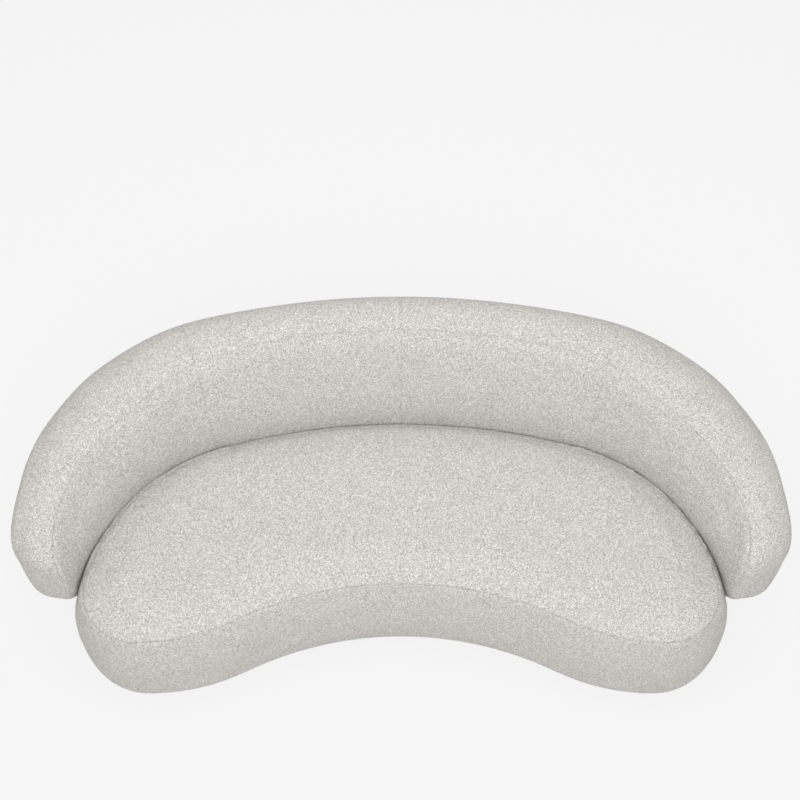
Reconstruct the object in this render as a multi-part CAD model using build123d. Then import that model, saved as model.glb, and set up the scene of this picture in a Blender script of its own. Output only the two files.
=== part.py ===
from build123d import *
import math
import os

# Curved lounge sofa: a kidney-shaped upholstered seat inside a rolled back that wraps round it.
# Millimetres, +Z up, the front towards -Y, origin on the floor under the middle of the outer box.
# A turn is the angle travelled round the back from its rear centre, in degrees, left positive.
# A reach is measured outwards from the seat's plan outline, and an inset inwards from it.

# Seat plan: arcs that meet tangentially, from the rear centre round to the front hollow
SEAT_REAR_RADIUS = 1935.0
SEAT_REAR_HALF_ANGLE = 17.9
SEAT_SIDE_RADIUS = 603.0
SEAT_SIDE_TURN = 83.8
SEAT_CORNER_RADIUS = 215.0
SEAT_LOBE_RADIUS = 663.0
SEAT_FRONT_RADIUS = 1059.0

# Seat edge and top
SEAT_UNDER_ROUND = 88.0
SEAT_UPRIGHT_TOP = 205.0
SEAT_SEAM_HEIGHT = 400.0
SEAT_SEAM_INSET = 40.0
SEAT_CROWN = 35.0
SEAT_CROWN_RUN = 150.0

# Back: section sizes at stations round the back
BACK_SEAM_TURN = 19.2
STATION_TURNS = (0.0, 10.0, BACK_SEAM_TURN, 27.0, 37.0, 55.0, 75.0, 95.0)
RIDGE_REACHES = (140.0, 139.0, 120.0, 98.0, 71.0, 57.0, 47.0, 47.0)
RIDGE_HEIGHTS = (695.0, 693.0, 689.0, 682.0, 673.0, 650.0, 620.0, 600.0)
BACK_REACHES = (317.0, 320.0, 339.0, 342.0, 337.0, 273.0, 200.0, 200.0)
FOOT_REACHES = (245.0, 250.0, 255.0, 253.0, 248.0, 215.0, 184.0, 184.0)
ROLL_RISE = 20.0
FACE_FOOT_HEIGHT = 330.0
FACE_CROWN = 34.0
BACK_UNDER_ROUND = 45.0
SEAT_TO_BACK = 1.5

# Rounded arm ends: the section shrinks towards a nose beside the seat and lifts off the floor
NOSE_START_TURN = 63.0
NOSE_END_TURN = 87.4
NOSE_HEIGHT = 393.0
NOSE_BLUNTNESS = 2.65
NOSE_TOP_BLUNTNESS = 5.0
NOSE_RIDGE_BLUNTNESS = 1.55
NOSE_LIFT_POWER = 1.3
NOSE_TIP_WIDTH_SHARE = 0.06
NOSE_TIP_TOP_SHARE = 0.12
NOSE_TIP_FOOT_SHARE = 0.06

# Upholstery layers
FABRIC = 3.0
WADDING = 9.0
LAYER_GAP = 0.8
NOSE_FOAM_PLAY = 3.0
SEAM_GAP = 0.8
DUST_CLOTH = 1.0
SEAT_HEM = 50.0
BACK_INNER_HEM = 58.0
BACK_OUTER_HEM_REACH = 120.0
HEM_CLOSE_TURN = 55.0
UNDER_SEAM_REACH = 90.0
SEAT_TOPPER = 85.0

# Timber frame
GROUND_CLEARANCE = 29.0
PLY = 18.0
BENT_PLY = 9.0
REAR_BOARD = 3.0
FRAME_INSET = 95.0
DECK_HEIGHT = 250.0
DECK_RING_WIDTH = 80.0
FRAME_FIT = 0.5
SEAT_RIB_PITCH_SHARE = 0.45
BACK_FRAME_FRONT = 30.0
BACK_FRAME_REAR = 140.0
TOP_RAIL_FRONT = 100.0
TOP_RAIL_DROP = 22.0
BACK_FRAME_END_TURN = 61.5
BACK_RIB_TURNS = (5.0, 15.5, 27.0, 40.5, 53.0, 60.0)

# Webbing
WEB_THICKNESS = 1.5
WEB_WIDTH = 50.0
SEAT_WEB_PITCH = 80.0
SEAT_WEB_EDGE = 12.0
SEAT_LONG_WEB_SETBACKS = (140.0, 250.0, 360.0)
BACK_WEB_PITCH = 90.0
BACK_WEB_FIRST = 35.0
BACK_WEB_COUNT = 3

# Joining plates and their screws
PLATE_TURNS = (10.5, 34.0)
PLATE_THICKNESS = 4.0
PLATE_WIDTH = 40.0
PLATE_SEAT_SCREWS = (-172.0, -142.0)
PLATE_BACK_SCREWS = (75.0, 105.0)
PLATE_MARGIN = 14.0
SCREW_DIAMETER = 6.0
SCREW_HEAD_DIAMETER = 12.0
SCREW_HEAD_HEIGHT = 3.0
SCREW_HOLE_PLAY = 0.6
SCREW_END = 3.0

# Levelling feet
FOOT_DIAMETER = 50.0
FOOT_HEIGHT = 22.0
FOOT_DISC = 10.0
FOOT_HUB_DIAMETER = 24.0
FOOT_EDGE_ROUND = 2.5
STUD_DIAMETER = 10.0
STUD_ABOVE_FRAME = 16.0
STUD_DEPTH = 14.0
STUD_SEAT_FIT = 0.05
STUD_NUT_FIT = 0.25
REAR_FOOT_TURN = 48.0
REAR_FOOT_REACH = 85.0

# Tee nuts pressed into the frame from above
NUT_WALL = 1.5
NUT_FLANGE = 1.6
NUT_FLANGE_OVERHANG = 7.0
NUT_BARREL = 12.0
NUT_HOLE_PLAY = 0.2
CLOTH_HOLE_PLAY = 2.0

# Heights that follow from the stack under the frame
UNDERSIDE = GROUND_CLEARANCE + DUST_CLOTH
PANEL_BOTTOM = UNDERSIDE + FABRIC
PANEL_TOP = PANEL_BOTTOM + PLY
RIB_TOP = DECK_HEIGHT - PLY
WEB_TOP = DECK_HEIGHT + 2 * WEB_THICKNESS
TOP_RAIL_HEIGHT = min(RIDGE_HEIGHTS) - TOP_RAIL_DROP
TOP_RAIL_BOTTOM = TOP_RAIL_HEIGHT - PLY
FOAM_DEPTH = FABRIC + WADDING + 2 * LAYER_GAP
WADDING_DEPTH = FABRIC + LAYER_GAP
SEAT_TOPPER_UNDERSIDE = SEAT_SEAM_HEIGHT + SEAT_CROWN - SEAT_TOPPER
CUT_SIZE = 4 * SEAT_REAR_RADIUS


def polar(centre, radius, angle):
    """Plan point at a radius and an angle from a centre."""
    radians = math.radians(angle)
    return (centre[0] + radius * math.cos(radians), centre[1] + radius * math.sin(radians))


# Plan centres of the left half, with the box of the whole sofa centred on the origin
rear_above = (0.0, -SEAT_REAR_RADIUS)
side_above = polar(rear_above, SEAT_REAR_RADIUS - SEAT_SIDE_RADIUS, 90 + SEAT_REAR_HALF_ANGLE)
corner_above = polar(side_above, SEAT_SIDE_RADIUS - SEAT_CORNER_RADIUS, 90 + SEAT_SIDE_TURN)
SEAT_REAR_Y = (SEAT_CORNER_RADIUS - corner_above[1] - BACK_REACHES[0]) / 2
REAR_CENTRE = (0.0, rear_above[1] + SEAT_REAR_Y)
SIDE_CENTRE = (side_above[0], side_above[1] + SEAT_REAR_Y)
CORNER_CENTRE = (corner_above[0], corner_above[1] + SEAT_REAR_Y)
LOBE_CENTRE = (CORNER_CENTRE[0], CORNER_CENTRE[1] + SEAT_LOBE_RADIUS - SEAT_CORNER_RADIUS)
FRONT_HALF_ANGLE = math.degrees(math.asin(-LOBE_CENTRE[0] / (SEAT_LOBE_RADIUS + SEAT_FRONT_RADIUS)))
front_drop = (SEAT_LOBE_RADIUS + SEAT_FRONT_RADIUS) * math.cos(math.radians(FRONT_HALF_ANGLE))
FRONT_CENTRE = (0.0, LOBE_CENTRE[1] - front_drop)
SEAT_FRONT_Y = FRONT_CENTRE[1] + SEAT_FRONT_RADIUS


def flip(point):
    """Plan point mirrored to the right half."""
    return (-point[0], point[1])


def solids_of(*shapes):
    """All solids of some shapes as one group."""
    found = [solid for shape in shapes for solid in shape.solids()]
    return found[0] if len(found) == 1 else Compound(children=found)


def mirrored(shape):
    """The right-hand twin of a left-hand shape."""
    return mirror(shape, about=Plane.YZ)


# Seat outline and the layers revolved round it


def seat_arcs(inset=0.0):
    """Centre, radius, first angle and sweep of each arc of the seat's outline, drawn in."""
    side_sweep = SEAT_SIDE_TURN - SEAT_REAR_HALF_ANGLE
    corner_sweep = 180 - SEAT_SIDE_TURN
    return (
        (REAR_CENTRE, SEAT_REAR_RADIUS - inset, 90 - SEAT_REAR_HALF_ANGLE, 2 * SEAT_REAR_HALF_ANGLE),
        (SIDE_CENTRE, SEAT_SIDE_RADIUS - inset, 90 + SEAT_REAR_HALF_ANGLE, side_sweep),
        (CORNER_CENTRE, SEAT_CORNER_RADIUS - inset, 90 + SEAT_SIDE_TURN, corner_sweep),
        (LOBE_CENTRE, SEAT_LOBE_RADIUS - inset, 270, FRONT_HALF_ANGLE),
        (FRONT_CENTRE, SEAT_FRONT_RADIUS + inset, 90 + FRONT_HALF_ANGLE, -2 * FRONT_HALF_ANGLE),
        (flip(LOBE_CENTRE), SEAT_LOBE_RADIUS - inset, 270 - FRONT_HALF_ANGLE, FRONT_HALF_ANGLE),
        (flip(CORNER_CENTRE), SEAT_CORNER_RADIUS - inset, 270, corner_sweep),
        (flip(SIDE_CENTRE), SEAT_SIDE_RADIUS - inset, 90 - SEAT_SIDE_TURN, side_sweep),
    )


def seat_slab(inset, low, high):
    """The seat's plan, drawn in, between two heights."""
    outline = Wire([CenterArc((*centre, low), *arc) for centre, *arc in seat_arcs(inset)])
    return extrude(Face(outline), high - low, dir=(0, 0, 1))


def closed_section(place, runs):
    """A flat face from runs of two points, which are lines, or of three, which are arcs."""
    edges = []
    for run in runs:
        points = [place(*point) for point in run]
        edges.append(Line(*points) if len(run) == 2 else ThreePointArc(*points))
    return Face(Wire(edges))


def round_the_seat(*runs):
    """An edge section in (inset, height) carried right round the seat's outline."""
    stretches = []
    for centre, radius, first, sweep in seat_arcs():
        inwards = -1 if sweep > 0 else 1

        def place(inset, height):
            return Vector(*polar(centre, radius + inwards * inset, first), height)

        axis = Axis((*centre, 0), (0, 0, 1 if sweep > 0 else -1))
        stretches.append(revolve(closed_section(place, runs), axis, abs(sweep)))
    return stretches[0].fuse(*stretches[1:]).clean()


def on_circle(centre, radius, angle):
    """A point of a section on a circle, angle in radians."""
    return (centre[0] + radius * math.cos(angle), centre[1] + radius * math.sin(angle))


def angle_of(centre, point):
    """The angle in radians, 0 to a full turn, of a point about a centre."""
    return math.atan2(point[1] - centre[1], point[0] - centre[0]) % (2 * math.pi)


def upper_crossing(centre_a, radius_a, centre_b, radius_b):
    """The higher crossing of two circles of a section."""
    apart = math.dist(centre_a, centre_b)
    along = (apart**2 + radius_a**2 - radius_b**2) / (2 * apart)
    off = math.sqrt(radius_a**2 - along**2)
    ux, uz = (centre_b[0] - centre_a[0]) / apart, (centre_b[1] - centre_a[1]) / apart
    crossings = [
        (centre_a[0] + along * ux - side * off * uz, centre_a[1] + along * uz + side * off * ux)
        for side in (1, -1)
    ]
    return max(crossings, key=lambda point: point[1])


SEAT_TOP = SEAT_SEAM_HEIGHT + SEAT_CROWN
SEAT_PLATEAU_INSET = SEAT_SEAM_INSET + SEAT_CROWN_RUN


def seat_edge(depth):
    """Named (inset, height) points of the seat's edge, a depth inside its outer face."""
    # Upright lower side on a rounded foot, then an arc that leans in to the seam
    climb = SEAT_SEAM_HEIGHT - SEAT_UPRIGHT_TOP
    side_radius = (SEAT_SEAM_INSET**2 + climb**2) / (2 * SEAT_SEAM_INSET)
    side_centre = (side_radius, SEAT_UPRIGHT_TOP)
    side_radius -= depth
    # Crown: an arc from the seam that levels out on the flat middle of the seat
    crown_radius = (SEAT_CROWN_RUN**2 + SEAT_CROWN**2) / (2 * SEAT_CROWN)
    crown_centre = (SEAT_PLATEAU_INSET, SEAT_TOP - crown_radius)
    crown_radius -= depth
    seam = upper_crossing(side_centre, side_radius, crown_centre, crown_radius)
    side_end = angle_of(side_centre, seam) + SEAM_GAP / 2 / side_radius
    crown_start = angle_of(crown_centre, seam) - SEAM_GAP / 2 / crown_radius
    foot_centre = (SEAT_UNDER_ROUND, UNDERSIDE + SEAT_UNDER_ROUND)
    foot_radius = SEAT_UNDER_ROUND - depth

    def side_angle(height):
        return math.asin((height - SEAT_UPRIGHT_TOP) / side_radius)

    def side_at(height):
        return on_circle(side_centre, side_radius, math.pi - side_angle(height))

    def side_between(low, high):
        middle = (side_angle(low) + side_angle(high)) / 2
        return on_circle(side_centre, side_radius, math.pi - middle)

    return {
        "plateau": (SEAT_PLATEAU_INSET, SEAT_TOP - depth),
        "mid_crown": on_circle(crown_centre, crown_radius, (crown_start + math.pi / 2) / 2),
        "crown_seam": on_circle(crown_centre, crown_radius, crown_start),
        "side_seam": on_circle(side_centre, side_radius, side_end),
        "seam": seam,
        "mid_side": on_circle(side_centre, side_radius, (side_end + math.pi) / 2),
        "upright_top": (depth, SEAT_UPRIGHT_TOP),
        "upright_foot": (depth, foot_centre[1]),
        "mid_foot": on_circle(foot_centre, foot_radius, 1.25 * math.pi),
        "under_edge": (SEAT_UNDER_ROUND, UNDERSIDE + depth),
        "side_at": side_at,
        "side_between": side_between,
    }


# Back stations, sections and their lofted layers


def travel(turn):
    """Distance round the seat's outline from the rear centre to a turn."""
    on_side = max(abs(turn) - SEAT_REAR_HALF_ANGLE, 0.0)
    on_rear = abs(turn) - on_side
    return math.radians(on_rear) * SEAT_REAR_RADIUS + math.radians(on_side) * SEAT_SIDE_RADIUS


STATION_TRAVELS = [travel(turn) for turn in STATION_TURNS]


def blend(turn, values):
    """Smooth value at a turn, through the values given at the stations, with no overshoot."""
    here = travel(turn)
    gaps = [after - before for before, after in zip(STATION_TRAVELS, STATION_TRAVELS[1:])]
    rates = [(b - a) / gap for a, b, gap in zip(values, values[1:], gaps)]
    slopes = [0.0]
    for i in range(1, len(gaps)):
        before, after = rates[i - 1], rates[i]
        near, far = 2 * gaps[i] + gaps[i - 1], gaps[i] + 2 * gaps[i - 1]
        slopes.append((near + far) / (near / before + far / after) if before * after > 0 else 0.0)
    slopes.append(rates[-1])
    span = max(i for i in range(len(gaps)) if here >= STATION_TRAVELS[i])
    t = (here - STATION_TRAVELS[span]) / gaps[span]
    level = values[span] * (1 + 2 * t) * (1 - t) ** 2 + values[span + 1] * t**2 * (3 - 2 * t)
    lean = gaps[span] * (slopes[span] * t * (1 - t) ** 2 - slopes[span + 1] * t**2 * (1 - t))
    return level + lean


def back_point(turn, reach, height=0.0):
    """A point at a turn round the back, a reach from the seat outline and a height."""
    if abs(turn) <= SEAT_REAR_HALF_ANGLE:
        plan = polar(REAR_CENTRE, SEAT_REAR_RADIUS + reach, 90 + turn)
    else:
        plan = polar(SIDE_CENTRE, SEAT_SIDE_RADIUS + reach, 90 + abs(turn))
        plan = plan if turn > 0 else flip(plan)
    return Vector(*plan, height)


def nose_shares(turn, depth):
    """Shares of the section's widths and heights that are left at a turn, for a layer at a depth."""
    end = NOSE_END_TURN - math.degrees(depth / SEAT_SIDE_RADIUS)
    along = min(max((abs(turn) - NOSE_START_TURN) / (end - NOSE_START_TURN), 0.0), 1.0)

    def left(bluntness, tip):
        return tip + (1 - tip) * (1 - along**bluntness) ** (1 / bluntness)

    return {
        "outer": left(NOSE_BLUNTNESS, NOSE_TIP_WIDTH_SHARE),
        "ridge": left(NOSE_RIDGE_BLUNTNESS, NOSE_TIP_WIDTH_SHARE),
        "upper": left(NOSE_TOP_BLUNTNESS, NOSE_TIP_TOP_SHARE),
        "lower": NOSE_TIP_FOOT_SHARE + (1 - NOSE_TIP_FOOT_SHARE) * (1 - along**NOSE_LIFT_POWER),
    }


def hem_reaches(turn):
    """Where the inner and outer covers end under the frame; past its end they meet in a seam."""
    close = min(max((abs(turn) - HEM_CLOSE_TURN) / (NOSE_START_TURN - HEM_CLOSE_TURN), 0.0), 1.0)
    inner = SEAT_TO_BACK + BACK_INNER_HEM
    inner += close * (UNDER_SEAM_REACH - SEAM_GAP / 2 - inner)
    return inner, BACK_OUTER_HEM_REACH + close * (UNDER_SEAM_REACH + SEAM_GAP / 2 - BACK_OUTER_HEM_REACH)


def back_section(turn, depth, shares):
    """Named (reach, height) points of the back's section, a depth inside its outer face."""
    ridge = (blend(turn, RIDGE_REACHES), blend(turn, RIDGE_HEIGHTS))
    outer = blend(turn, BACK_REACHES)
    foot = blend(turn, FOOT_REACHES)
    wall = SEAT_TO_BACK + depth
    # Inner face: a crowned arc from the seat's edge up to the ridge seam
    face_foot = (SEAT_TO_BACK, FACE_FOOT_HEIGHT)
    chord = math.dist(face_foot, ridge)
    face_radius = (chord**2 / 4 + FACE_CROWN**2) / (2 * FACE_CROWN)
    across = ((ridge[1] - face_foot[1]) / chord, (face_foot[0] - ridge[0]) / chord)
    sink = face_radius - FACE_CROWN
    face_centre = tuple((face_foot[i] + ridge[i]) / 2 + sink * across[i] for i in (0, 1))
    face_radius -= depth
    # Top roll: an arc from the ridge seam over the top to the outermost point
    spread = outer - ridge[0]
    roll_radius = spread + ROLL_RISE - math.sqrt(2 * spread * ROLL_RISE)
    roll_centre = (outer - roll_radius, ridge[1] + ROLL_RISE - roll_radius)
    roll_radius -= depth
    # Rear face: leaves the roll upright and draws in towards the foot
    lean, drop = outer - foot, roll_centre[1] - UNDERSIDE
    rear_radius = (lean**2 + drop**2) / (2 * lean)
    rear_centre = (outer - rear_radius, roll_centre[1])
    rear_radius -= depth
    under = UNDERSIDE + depth
    round_top = UNDERSIDE + BACK_UNDER_ROUND + depth / 2
    fall = math.sqrt(face_radius**2 - (wall - face_centre[0]) ** 2)
    low_face = (wall, face_centre[1] - fall)
    seam = upper_crossing(face_centre, face_radius, roll_centre, roll_radius)
    half_seam = SEAM_GAP / 2
    face_end = angle_of(face_centre, seam) + half_seam / face_radius
    roll_start = angle_of(roll_centre, seam) - half_seam / roll_radius
    low_angle = -math.asin((rear_centre[1] - round_top) / rear_radius)
    low_rear = on_circle(rear_centre, rear_radius, low_angle)
    under_edge = (low_rear[0] - BACK_UNDER_ROUND, under)
    ease = 1 - math.sqrt(0.5)
    mid_face = (angle_of(face_centre, low_face) + face_end) / 2
    inner_hem, outer_hem = hem_reaches(turn)
    points = {
        "wall_foot": (wall, under),
        "low_face": low_face,
        "mid_face": on_circle(face_centre, face_radius, mid_face),
        "face_ridge": on_circle(face_centre, face_radius, face_end),
        "roll_ridge": on_circle(roll_centre, roll_radius, roll_start),
        "roll_top": on_circle(roll_centre, roll_radius, roll_start / 2),
        "rear_top": on_circle(roll_centre, roll_radius, 0.0),
        "mid_rear": on_circle(rear_centre, rear_radius, low_angle / 2),
        "low_rear": low_rear,
        "mid_round": (low_rear[0] - ease * BACK_UNDER_ROUND, under + ease * (round_top - under)),
        "under_edge": under_edge,
        "inner_hem": (inner_hem, under),
        "outer_hem": (outer_hem, under),
    }
    widths = dict.fromkeys(points, shares["outer"])
    widths.update(dict.fromkeys(("mid_face", "face_ridge", "roll_ridge"), shares["ridge"]))
    widths["roll_top"] = (shares["ridge"] + shares["outer"]) / 2
    section = {}
    for name, (reach, height) in points.items():
        rise = height - NOSE_HEIGHT
        share = shares["upper"] if rise > 0 else shares["lower"]
        section[name] = (SEAT_TO_BACK + (reach - SEAT_TO_BACK) * widths[name], NOSE_HEIGHT + rise * share)
    return section


def section_wire(turn, *runs):
    """Closed outline of a section of the back at a turn."""

    def place(reach, height):
        return back_point(turn, reach, height)

    return closed_section(place, runs).outer_wire()


def spread_turns(first, last, count):
    """Evenly spaced turns from first to last."""
    return [first + (last - first) * i / (count - 1) for i in range(count)]


def nose_turns(depth, count):
    """Turns that crowd towards the tip of the nose."""
    end = NOSE_END_TURN - math.degrees(depth / SEAT_SIDE_RADIUS)
    steps = [math.sin(math.pi / 2 * i / count) for i in range(1, count + 1)]
    return [NOSE_START_TURN + (end - NOSE_START_TURN) * step for step in steps]


REAR_STATIONS = 7
JUNCTION_STATIONS = 3
SIDE_STATIONS = 11
NOSE_STATIONS = 14


def lofted(wire_at, *stretches):
    """Stretches lofted through the sections at their turns and joined end to end."""
    pieces = [Solid.make_loft([wire_at(turn) for turn in turns]) for turns in stretches]
    return pieces[0].fuse(*pieces[1:]) if len(pieces) > 1 else pieces[0]


def arm_to_arm(end):
    """Stretches of turns along the left side, the rear and the right side, up to an end turn."""
    left = spread_turns(-end, -SEAT_REAR_HALF_ANGLE, SIDE_STATIONS)
    rear = spread_turns(-SEAT_REAR_HALF_ANGLE, SEAT_REAR_HALF_ANGLE, 2 * REAR_STATIONS - 1)
    return left, rear, [-turn for turn in reversed(left)]


def inner_strip(turn, outer, inner):
    """Section of a layer over the inner face, from its hem under the frame to the ridge seam."""
    return section_wire(
        turn,
        (outer["inner_hem"], outer["wall_foot"]),
        (outer["wall_foot"], outer["low_face"]),
        (outer["low_face"], outer["mid_face"], outer["face_ridge"]),
        (outer["face_ridge"], inner["face_ridge"]),
        (inner["face_ridge"], inner["mid_face"], inner["low_face"]),
        (inner["low_face"], inner["wall_foot"]),
        (inner["wall_foot"], inner["inner_hem"]),
        (inner["inner_hem"], outer["inner_hem"]),
    )


def outer_strip(turn, outer, inner):
    """Section of a layer over the top roll and the rear, from the ridge seam to its hem."""
    return section_wire(
        turn,
        (outer["roll_ridge"], outer["roll_top"], outer["rear_top"]),
        (outer["rear_top"], outer["mid_rear"], outer["low_rear"]),
        (outer["low_rear"], outer["mid_round"], outer["under_edge"]),
        (outer["under_edge"], outer["outer_hem"]),
        (outer["outer_hem"], inner["outer_hem"]),
        (inner["outer_hem"], inner["under_edge"]),
        (inner["under_edge"], inner["mid_round"], inner["low_rear"]),
        (inner["low_rear"], inner["mid_rear"], inner["rear_top"]),
        (inner["rear_top"], inner["roll_top"], inner["roll_ridge"]),
        (inner["roll_ridge"], outer["roll_ridge"]),
    )


def back_cover(strip, *stretches):
    """One sewn panel of the back's fabric along some stretches of turns."""

    def wire_at(turn):
        shares = nose_shares(turn, 0.0)
        outer = back_section(turn, 0.0, shares)
        return strip(turn, outer, back_section(turn, FABRIC / shares["outer"], shares))

    return lofted(wire_at, *stretches)


def full_section(turn, depth):
    """Section of the back before the arm ends, a depth inside its outer face."""
    return back_section(turn, depth, nose_shares(0.0, 0.0))


def inner_wadding_wire(turn):
    """Section of the wadding over the inner face."""
    outer, inner = full_section(turn, WADDING_DEPTH), full_section(turn, WADDING_DEPTH + WADDING)
    return section_wire(
        turn,
        (outer["wall_foot"], outer["low_face"]),
        (outer["low_face"], outer["mid_face"], outer["face_ridge"]),
        (outer["face_ridge"], inner["face_ridge"]),
        (inner["face_ridge"], inner["mid_face"], inner["low_face"]),
        (inner["low_face"], inner["wall_foot"]),
        (inner["wall_foot"], outer["wall_foot"]),
    )


def outer_wadding_wire(turn):
    """Section of the wadding over the top roll and down the rear."""
    outer, inner = full_section(turn, WADDING_DEPTH), full_section(turn, WADDING_DEPTH + WADDING)
    return section_wire(
        turn,
        (outer["roll_ridge"], outer["roll_top"], outer["rear_top"]),
        (outer["rear_top"], outer["mid_rear"], outer["low_rear"]),
        (outer["low_rear"], inner["low_rear"]),
        (inner["low_rear"], inner["mid_rear"], inner["rear_top"]),
        (inner["rear_top"], inner["roll_top"], inner["roll_ridge"]),
        (inner["roll_ridge"], outer["roll_ridge"]),
    )


def foam_seam(section):
    """Where the two back foams meet: from the top rail's front corner to the ridge."""
    rail_corner = (TOP_RAIL_FRONT - 2 * WEB_THICKNESS, TOP_RAIL_HEIGHT)
    tilt = angle_of(rail_corner, section["face_ridge"])
    shift = (-math.sin(tilt) * LAYER_GAP / 2, math.cos(tilt) * LAYER_GAP / 2)
    return rail_corner, shift


def inner_foam_wire(turn):
    """Section of the foam between the inner face and the frame."""
    skin = full_section(turn, FOAM_DEPTH)
    rail_corner, shift = foam_seam(skin)
    behind = BACK_FRAME_FRONT - 2 * WEB_THICKNESS
    low_behind = (behind, skin["wall_foot"][1])
    web_foot = (behind, DECK_HEIGHT)
    web_top = (rail_corner[0], TOP_RAIL_BOTTOM)
    seam_foot = (rail_corner[0] + shift[0], rail_corner[1] + shift[1])
    return section_wire(
        turn,
        (skin["wall_foot"], skin["low_face"]),
        (skin["low_face"], skin["mid_face"], skin["face_ridge"]),
        (skin["face_ridge"], seam_foot),
        (seam_foot, web_top),
        (web_top, web_foot),
        (web_foot, low_behind),
        (low_behind, skin["wall_foot"]),
    )


def outer_foam_wire(turn):
    """Section of the foam over the top roll and behind the rear board."""
    skin = full_section(turn, FOAM_DEPTH)
    rail_corner, shift = foam_seam(skin)
    behind = BACK_FRAME_REAR + FRAME_FIT + REAR_BOARD + FRAME_FIT
    board_top = (behind, TOP_RAIL_HEIGHT)
    board_foot = (behind, skin["under_edge"][1])
    seam_foot = (rail_corner[0] - shift[0], rail_corner[1])
    return section_wire(
        turn,
        (skin["roll_ridge"], skin["roll_top"], skin["rear_top"]),
        (skin["rear_top"], skin["mid_rear"], skin["low_rear"]),
        (skin["low_rear"], board_foot),
        (board_foot, board_top),
        (board_top, seam_foot),
        (seam_foot, skin["roll_ridge"]),
    )


def nose_block():
    """The foam block that rounds off the left arm, cut flat just short of the cover's tip."""
    depth = FABRIC + NOSE_FOAM_PLAY
    first = NOSE_START_TURN + math.degrees(LAYER_GAP / SEAT_SIDE_RADIUS)
    wires = []
    for turn in [first, *nose_turns(depth, NOSE_STATIONS)[:-1]]:
        shares = nose_shares(turn, depth)
        skin = back_section(turn, depth / shares["outer"], shares)
        wires.append(
            section_wire(
                turn,
                (skin["wall_foot"], skin["low_face"]),
                (skin["low_face"], skin["mid_face"], skin["face_ridge"]),
                (skin["face_ridge"], skin["roll_ridge"]),
                (skin["roll_ridge"], skin["roll_top"], skin["rear_top"]),
                (skin["rear_top"], skin["mid_rear"], skin["low_rear"]),
                (skin["low_rear"], skin["mid_round"], skin["under_edge"]),
                (skin["under_edge"], skin["wall_foot"]),
            )
        )
    return Solid.make_loft(wires)


# Frame pieces bent to the plan


def sector(centre, radii, angles, heights):
    """A curved board between two radii, two angles and two heights."""
    near, far = radii
    start, end = angles
    edges = (
        CenterArc((*centre, heights[0]), far, start, end - start),
        Line((*polar(centre, far, end), heights[0]), (*polar(centre, near, end), heights[0])),
        CenterArc((*centre, heights[0]), near, end, start - end),
        Line((*polar(centre, near, start), heights[0]), (*polar(centre, far, start), heights[0])),
    )
    return extrude(Face(Wire(edges)), heights[1] - heights[0], dir=(0, 0, 1))


def crescent(reaches, heights, end_turn):
    """A board bent round the back between two reaches, from one arm to the other."""
    rear_angles = (90 - SEAT_REAR_HALF_ANGLE, 90 + SEAT_REAR_HALF_ANGLE)
    rear = sector(REAR_CENTRE, [SEAT_REAR_RADIUS + reach for reach in reaches], rear_angles, heights)
    side_angles = (90 + SEAT_REAR_HALF_ANGLE, 90 + end_turn)
    side = sector(SIDE_CENTRE, [SEAT_SIDE_RADIUS + reach for reach in reaches], side_angles, heights)
    return solids_of(rear + side + mirrored(side))


def back_rib(turn, points):
    """A flat plywood rib across the back at a turn."""
    corners = [back_point(turn, *point) for point in points]
    face = Face(Wire.make_polygon(corners))
    return extrude(face, PLY / 2, both=True)


def web_strap(first):
    """One elastic strap round the front of the upper ribs, at a distance up their slope."""
    rise = TOP_RAIL_BOTTOM - DECK_HEIGHT
    run = TOP_RAIL_FRONT - BACK_FRAME_FRONT
    length = math.hypot(run, rise)
    slope, normal = (run / length, rise / length), (-rise / length, run / length)

    def corner(along, off):
        reach = BACK_FRAME_FRONT + along * slope[0] + off * normal[0]
        return (reach, DECK_HEIGHT + along * slope[1] + off * normal[1])

    near, far = FRAME_FIT, FRAME_FIT + WEB_THICKNESS
    profile = [corner(first, near), corner(first + WEB_WIDTH, near)]
    profile += [corner(first + WEB_WIDTH, far), corner(first, far)]
    rear_start = [back_point(-SEAT_REAR_HALF_ANGLE, *point) for point in profile]
    rear_axis = Axis((*REAR_CENTRE, 0), (0, 0, 1))
    rear = revolve(Face(Wire.make_polygon(rear_start)), rear_axis, 2 * SEAT_REAR_HALF_ANGLE)
    side_start = [back_point(SEAT_REAR_HALF_ANGLE, *point) for point in profile]
    side_axis = Axis((*SIDE_CENTRE, 0), (0, 0, 1))
    sweep = BACK_FRAME_END_TURN - SEAT_REAR_HALF_ANGLE
    side = revolve(Face(Wire.make_polygon(side_start)), side_axis, sweep)
    return rear + side + mirrored(side)


# Places of the hardware under the frame


def both_sides(turns):
    """The turns and their mirror images."""
    return [side * turn for turn in turns for side in (1, -1)]


SEAT_SCREWS = [back_point(turn, r) for turn in both_sides(PLATE_TURNS) for r in PLATE_SEAT_SCREWS]
BACK_SCREWS = [back_point(turn, r) for turn in both_sides(PLATE_TURNS) for r in PLATE_BACK_SCREWS]
SEAT_FEET = {
    "front_left": Vector(*CORNER_CENTRE),
    "front_right": Vector(*flip(CORNER_CENTRE)),
    "front_centre": Vector(0, SEAT_FRONT_Y + SEAT_CORNER_RADIUS),
}
BACK_FEET = {
    "rear_left": back_point(REAR_FOOT_TURN, REAR_FOOT_REACH),
    "rear_right": back_point(-REAR_FOOT_TURN, REAR_FOOT_REACH),
    "rear_centre": back_point(0, REAR_FOOT_REACH),
}
SCREW_NUT_BORE = SCREW_DIAMETER + SCREW_HOLE_PLAY
STUD_NUT_BORE = STUD_DIAMETER + 2 * STUD_NUT_FIT


def rod(place, diameter, low, high):
    """An upright round bar at a plan place."""
    centre = Pos(place.X, place.Y, (low + high) / 2)
    return centre * Cylinder(diameter / 2, high - low)


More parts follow.
